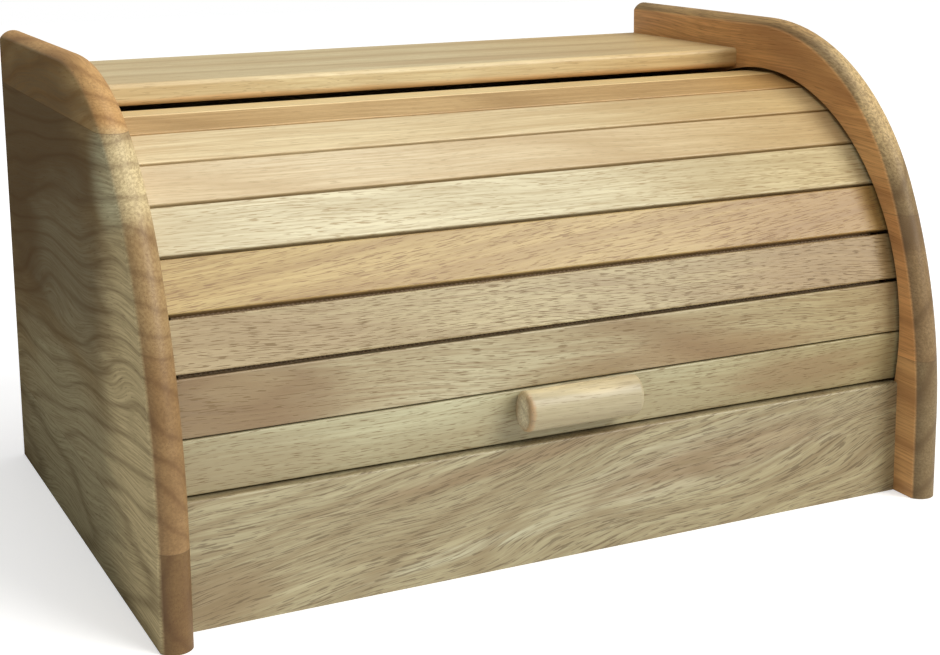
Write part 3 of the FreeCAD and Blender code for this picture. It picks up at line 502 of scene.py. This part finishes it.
for number, (slat, wood) in enumerate(slat_woods.items()):
    *tones, amounts, slant, pore_level, patches = wood
    low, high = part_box(slat)
    middle = (low + high) / 2
    facing = math.atan2(middle.z - turn_z, turn_y - middle.y)
    dress(slat, board_lacquer(
        slat + "_lacquer", tones,
        figure={"Slant": slant, "Dive": 0.10 * math.sin(2.1 * number), "Wander": 0.012,
                "Heart": (0.0, 0.01 * (number % 3) - 0.01, 0.06 + 0.02 * (number % 4)),
                "Ring Scale": 15.0 + 2 * (number % 4), "Ring Bend": 3.2,
                "Pore Level": pore_level},
        amounts=amounts, facing=facing, right_end_shade=(0.86, 0.78, 0.64),
        patches=[((centre[0], middle.y, centre[2]), *rest) for centre, *rest in patches],
        shift=(log_step * number, -turn_y * math.sin(facing) - turn_z * math.cos(facing), 0.0)))

# ---------------------------------------------------------------------------------------------
# Canvas. A strip of brown cotton duck glued across the backs of all ten slats, which lets the
# shutter bend. It is flat behind each slat and creased at each joint, and stops short of the
# track at both sides.

canvas_low, canvas_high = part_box("canvas_backing")
canvas_thick = 0.0008
slat_count = len(slat_woods)
slat_backs = 0.11512  # from the hinge to the flat back of each slat
canvas_creases = 0.1158  # from the hinge to the canvas's ends and creases
first_angle = math.asin((canvas_low.z - turn_z) / canvas_creases)
last_angle = math.pi / 2 + math.asin((canvas_high.y - turn_y) / canvas_creases)


def make_canvas():
    """The strip as a thin grid, bent round the backs of the slats."""
    wide = canvas_high.x - canvas_low.x
    steps_to_slat, steps_wide = 8, 60
    bpy.ops.mesh.primitive_grid_add(x_subdivisions=steps_wide,
                                    y_subdivisions=slat_count * steps_to_slat, size=1.0)
    cloth = bpy.context.object
    cloth.name = "canvas_cloth"
    pitch = (last_angle - first_angle) / slat_count
    glue_play = 0.00002
    away = slat_backs - canvas_thick / 2 - glue_play
    for corner in cloth.data.vertices:
        along = (corner.co.y + 0.5) * slat_count
        panel = min(int(along), slat_count - 1)
        middle_angle = first_angle + (panel + 0.5) * pitch
        offset = (along - panel - 0.5) * 2 * away * math.tan(pitch / 2)
        radial = Vector((-math.cos(middle_angle), math.sin(middle_angle)))
        tangent = Vector((math.sin(middle_angle), math.cos(middle_angle)))
        spot = radial * away + tangent * offset
        corner.co = (corner.co.x * wide, turn_y + spot.x, turn_z + spot.y)
    return cloth


canvas_cloth = make_canvas()
solid = canvas_cloth.modifiers.new("thickness", "SOLIDIFY")
solid.thickness = canvas_thick
solid.offset = 0.0
bpy.ops.object.modifier_apply(modifier=solid.name)
bpy.ops.object.shade_smooth_by_angle(angle=math.radians(30))


def brown_duck():
    """Plain-woven brown cotton duck, its sizes in millimetres."""
    made, tree = new_material("brown_duck")
    wide, long, thread = 362, 243, 1.1
    place = lay(tree, "TexCoord").outputs["UV"]
    axes = lay(tree, "SeparateXYZ", {0: place}).outputs
    warp = reckon(tree, "SINE", reckon(tree, "MULTIPLY", axes[0], wide * math.pi / thread))
    weft = reckon(tree, "SINE", reckon(tree, "MULTIPLY", axes[1], long * math.pi / thread))
    weave = reckon(tree, "MULTIPLY", warp, weft)
    slub = stretched_noise(tree, place, (60.0, 500.0, 1.0), 2.0)
    colour = stain(tree, between(tree, weave, -0.6, 0.6), (0.38, 0.26, 0.15, 1),
                   (0.55, 0.40, 0.25, 1))
    colour = stain(tree, between(tree, slub, 0.4, 0.75, 0.0, 0.5), colour, (0.66, 0.52, 0.36, 1))
    rise = lay(tree, "Bump", {"Strength": 0.6, "Distance": 0.0003, "Height": weave})
    shader = lay(tree, "BsdfPrincipled", {
        "Base Color": colour, "Roughness": between(tree, slub, 0.2, 0.8, 0.8, 0.95),
        "Normal": rise.outputs[0], "Sheen Weight": 0.2, "Specular IOR Level": 0.2})
    lay(tree, "OutputMaterial", {0: shader.outputs[0]})
    return made


canvas_cloth.data.materials.append(brown_duck())
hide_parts("canvas_backing")
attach(canvas_cloth, "shutter")
dress("canvas_backing", canvas_cloth.data.materials[0])

# ---------------------------------------------------------------------------------------------
# Handle. A short oval bar of pale rubberwood, planed flat where it meets the lowest slat and
# screwed on from inside.

handle_low, handle_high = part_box("handle")
handle_y, handle_z = ((handle_low + handle_high) / 2).yz
dress("handle", board_lacquer(
    "handle_lacquer",
    tones=((0.54, 0.47, 0.30), (0.42, 0.35, 0.20), (0.32, 0.24, 0.13), (0.24, 0.16, 0.09)),
    figure={"Slant": 0.04, "Dive": 0.06, "Wander": 0.006, "Heart": (0.0, -0.09, 0.03),
            "Ring Scale": 24.0, "Ring Bend": 2.0, "Pore Level": 0.60},
    amounts=(0.35, 0.30, 0.5), shift=(0.21, 0.0, 0.0), rough=0.38, coat=0.2,
    patches=[((-0.0285, handle_y, handle_z), (0.0022, 0.03, 0.03), (0.50, 0.32, 0.16), 0.9),
             # painted light on the left end face, which faces away from the key light
             ((-0.0297, handle_y, handle_z), (0.0006, 0.0075, 0.0105), (0.96, 0.90, 0.66), 0.95),
             # painted highlight: a pale band along the top of the bar
             ((0.0, handle_y + 0.002, handle_high.z), (0.05, 0.012, 0.006),
              (0.80, 0.66, 0.38), 0.9)]))

# ---------------------------------------------------------------------------------------------
# Handle screws. Two round-headed plated steel screws through the lowest slat into the handle.


def plated_steel():
    """Bright zinc plating, a little duller and darker in fine specks."""
    made, tree = new_material("plated_steel")
    place = lay(tree, "TexCoord").outputs["Object"]
    dull = stretched_noise(tree, place, (900.0, 900.0, 900.0), 2.0)
    shader = lay(tree, "BsdfPrincipled", {
        "Base Color": stain(tree, dull, (0.60, 0.61, 0.62, 1), (0.42, 0.43, 0.45, 1)),
        "Roughness": between(tree, dull, 0.3, 0.7, 0.22, 0.42), "Metallic": 1.0})
    lay(tree, "OutputMaterial", {0: shader.outputs[0]})
    return made


dress("handle_screws", plated_steel())

# ---------------------------------------------------------------------------------------------
# Studio. A wide white floor and surround, a broad soft key light from high at the right of the
# front, and a weaker square light overhead.

bpy.ops.object.select_all(action="DESELECT")
under_box = -0.0002
bpy.ops.mesh.primitive_plane_add(size=6.0, location=(0, 0, under_box))
floor = bpy.context.object
floor.name = "floor"
bpy.ops.object.transform_apply(location=True, rotation=True, scale=True)
# the paper shows whiter than it lights the box
white_paper, paper_tree = new_material("white_paper")
seen = lay(paper_tree, "LightPath").outputs["Is Camera Ray"]
paper = lay(paper_tree, "BsdfPrincipled", {
    "Base Color": (0.9, 0.9, 0.9, 1), "Roughness": 1.0, "Specular IOR Level": 0.0,
    "Emission Color": (1, 1, 1, 1),
    "Emission Strength": between(paper_tree, seen, 0.0, 1.0, 0.1, 0.5)})
lay(paper_tree, "OutputMaterial", {0: paper.outputs[0]})
floor.data.materials.append(white_paper)


def hang_light(name, kind, place, heading, **settings):
    """A light at its place that shines along its heading."""
    lamp = bpy.data.lights.new(name, kind)
    for setting, value in settings.items():
        setattr(lamp, setting, value)
    stand = bpy.data.objects.new(name, lamp)
    bpy.context.scene.collection.objects.link(stand)
    stand.location = place
    stand.rotation_euler = heading.to_track_quat("-Z", "Y").to_euler()


top_place, box_middle = Vector((0.20, -0.10, 1.9)), Vector((0.0, 0.0, 0.1))
hang_light("top_light", "AREA", top_place, box_middle - top_place,
           shape="SQUARE", size=1.4, energy=15.0)
hang_light("key_light", "SUN", (0.0, 0.0, 0.0), Vector((-0.52, 0.66, -0.54)),
           energy=2.3, angle=math.radians(34), color=(1.0, 0.985, 0.955))

# the surround shows white and lights the box more gently than it shows
white_surround = bpy.data.worlds.new("white_surround")
bpy.context.scene.world = white_surround
white_surround.use_nodes = True
surround_tree = white_surround.node_tree
surround_tree.nodes.clear()
seen = lay(surround_tree, "LightPath").outputs["Is Camera Ray"]
glow = lay(surround_tree, "Background", {
    "Color": (1.0, 1.0, 1.0, 1.0),
    "Strength": between(surround_tree, seen, 0.0, 1.0, 0.2, 1.0)})
lay(surround_tree, "OutputWorld", {0: glow.outputs[0]})
bpy.context.scene.view_settings.view_transform = "Standard"

# ---------------------------------------------------------------------------------------------
# Camera. It stands at the left of the front, a little above the box, and looks slightly down.

camera = bpy.data.objects.new("camera", bpy.data.cameras.new("camera"))
bpy.context.scene.collection.objects.link(camera)
heading, dip, lean = math.radians(26.323), math.radians(10.741), math.radians(-0.354)
camera.location = (-0.3631, -0.7760, 0.3096)
camera.rotation_euler = (Matrix.Rotation(-heading, 3, "Z")
                         @ Matrix.Rotation(math.pi / 2 - dip, 3, "X")
                         @ Matrix.Rotation(lean, 3, "Z")).to_euler()
camera.data.lens = 65.3
camera.data.sensor_width = 36.0
camera.data.shift_x = -0.0286
camera.data.shift_y = -0.1357
camera.data.clip_start = 0.05
bpy.context.scene.camera = camera
